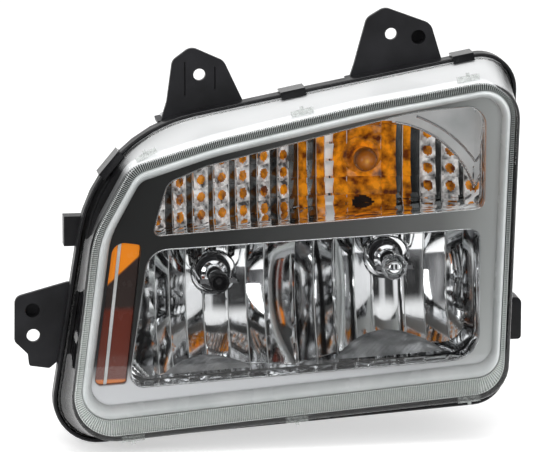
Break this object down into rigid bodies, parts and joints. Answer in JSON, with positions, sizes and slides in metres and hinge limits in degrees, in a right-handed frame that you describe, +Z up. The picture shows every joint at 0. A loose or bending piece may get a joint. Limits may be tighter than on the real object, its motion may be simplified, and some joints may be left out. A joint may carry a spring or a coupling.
{
  "type": "headlight assembly",
  "caption": "Clear-lens heavy vehicle headlight with twin beam bowls, faceted turn signal, amber side panel, bolt-on brackets and rear aiming screws.",
  "frame": {"origin": "centre of the bolt hole in the inner top bracket", "axes": "+X towards the middle of the vehicle, +Y from the lens to the rear caps, +Z up"},
  "size_m": [0.4088, 0.186, 0.3425],
  "materials": {
    "black_plastic": "satin moulded",
    "clear_lens": "clear hard-coated",
    "black_rubber": "matte",
    "black_clip": "gloss moulded",
    "satin_grey": "satin metallised",
    "screw_steel": "zinc plated",
    "fluted_clear": "fluted clear",
    "guide_clear": "frosted clear",
    "bright_trim": "bright",
    "amber_reflex": "amber clear",
    "mirror": "vacuum metallised",
    "bulb_glass": "clear quartz",
    "bulb_plastic": "moulded",
    "dark_shield": "gloss black",
    "seal_red": "matte",
    "amber_glass": "amber",
    "stud_steel": "plated",
    "natural_nylon": "moulded",
    "bracket_black": "satin black"
  },
  "bodies": {
    "housing": {"housing": "black_plastic", "lens": "clear_lens", "lens_seal": "black_rubber", "lens_clips": "black_clip", "bezel": "satin_grey", "bezel_screws": "screw_steel", "fluted_ring": "fluted_clear", "light_guide": "guide_clear", "window_trim": "bright_trim", "side_reflex": "amber_reflex", "side_divider": "bright_trim", "turn_reflector": "mirror", "reflector_screws": "screw_steel", "pivot_stud": "stud_steel", "vertical_adjuster": "natural_nylon", "horizontal_adjuster": "natural_nylon", "adjuster_screws": "screw_steel", "harness_connector": "bulb_plastic", "vent_caps": "black_rubber", "outer_top_bracket": "bracket_black", "inner_top_bracket": "bracket_black", "side_bracket": "bracket_black", "bracket_screws": "screw_steel"},
    "pivot": {"pivot_barrel": "natural_nylon"},
    "beam_unit": {"beam_reflector": "mirror", "low_beam_shield": "bright_trim", "high_beam_shield": "dark_shield", "vertical_socket": "natural_nylon", "horizontal_socket": "natural_nylon"},
    "low_bulb": {"low_bulb_glass": "bulb_glass", "low_bulb_base": "bulb_plastic", "low_bulb_seal": "seal_red"},
    "high_bulb": {"high_bulb_glass": "bulb_glass", "high_bulb_base": "bulb_plastic", "high_bulb_seal": "seal_red"},
    "turn_lamp": {"turn_bulb": "amber_glass", "turn_socket": "bulb_plastic", "turn_gasket": "black_rubber"},
    "marker_lamp": {"marker_bulb": "amber_glass", "marker_socket": "bulb_plastic", "marker_gasket": "black_rubber"},
    "low_cover": {"low_cap": "black_plastic", "low_cap_seal": "black_rubber"},
    "high_cover": {"high_cap": "black_plastic", "high_cap_seal": "black_rubber"},
    "vertical_screw": {"vertical_stud": "stud_steel"},
    "vertical_knob": {"vertical_drive": "natural_nylon"},
    "horizontal_screw": {"horizontal_stud": "stud_steel"},
    "horizontal_knob": {"horizontal_drive": "natural_nylon"}
  },
  "joints": [
    {"name": "horizontal_aim", "type": "hinge", "parent": "housing", "child": "pivot", "pos_m": [-0.067, 0.0605, -0.1665], "axis": [0, 0, 1], "range_deg": [-2, 2]},
    {"name": "vertical_aim", "type": "hinge", "parent": "pivot", "child": "beam_unit", "pos_m": [-0.067, 0.0605, -0.1665], "axis": [1, 0, 0], "range_deg": [-2.5, 2.5]},
    {"name": "vertical_screw_travel", "type": "slide", "parent": "housing", "child": "vertical_screw", "axis": [0, 1, 0], "range_m": [-0.00401, 0.00401]},
    {"name": "vertical_drive_turn", "type": "hinge", "parent": "housing", "child": "vertical_knob", "pos_m": [-0.067, 0.1005, -0.2565], "axis": [0, 1, 0], "range_deg": [-480.66, 480.66]},
    {"name": "horizontal_screw_travel", "type": "slide", "parent": "housing", "child": "horizontal_screw", "axis": [0, 1, 0], "range_m": [-0.00463, 0.00463]},
    {"name": "horizontal_drive_turn", "type": "hinge", "parent": "housing", "child": "horizontal_knob", "pos_m": [-0.197, 0.1005, -0.1665], "axis": [0, 1, 0], "range_deg": [-555.43, 555.43]},
    {"name": "low_bulb_twist", "type": "hinge", "parent": "beam_unit", "child": "low_bulb", "pos_m": [0.0045, 0.0505, -0.1905], "axis": [0, 1, 0], "range_deg": [0, 45]},
    {"name": "high_bulb_twist", "type": "hinge", "parent": "beam_unit", "child": "high_bulb", "pos_m": [-0.138, 0.0405, -0.1965], "axis": [0, 1, 0], "range_deg": [0, 45]},
    {"name": "turn_lamp_twist", "type": "hinge", "parent": "housing", "child": "turn_lamp", "pos_m": [-0.0195, 0.0505, -0.1015], "axis": [0, 1, 0], "range_deg": [0, 45]},
    {"name": "marker_lamp_twist", "type": "hinge", "parent": "housing", "child": "marker_lamp", "pos_m": [-0.2325, 0.0505, -0.22], "axis": [0, 1, 0], "range_deg": [0, 45]},
    {"name": "low_cap_twist", "type": "hinge", "parent": "housing", "child": "low_cover", "pos_m": [0.0045, 0.1105, -0.1905], "axis": [0, 1, 0], "range_deg": [0, 30]},
    {"name": "high_cap_twist", "type": "hinge", "parent": "housing", "child": "high_cover", "pos_m": [-0.138, 0.1105, -0.1965], "axis": [0, 1, 0], "range_deg": [0, 30]}
  ],
  "couplings": [
    {"joint": "vertical_screw_travel", "follows": "vertical_aim", "m_per_rad": 0.09},
    {"joint": "vertical_drive_turn", "follows": "vertical_aim", "ratio": 188.5},
    {"joint": "horizontal_screw_travel", "follows": "horizontal_aim", "m_per_rad": -0.13},
    {"joint": "horizontal_drive_turn", "follows": "horizontal_aim", "ratio": -272.27}
  ]
}
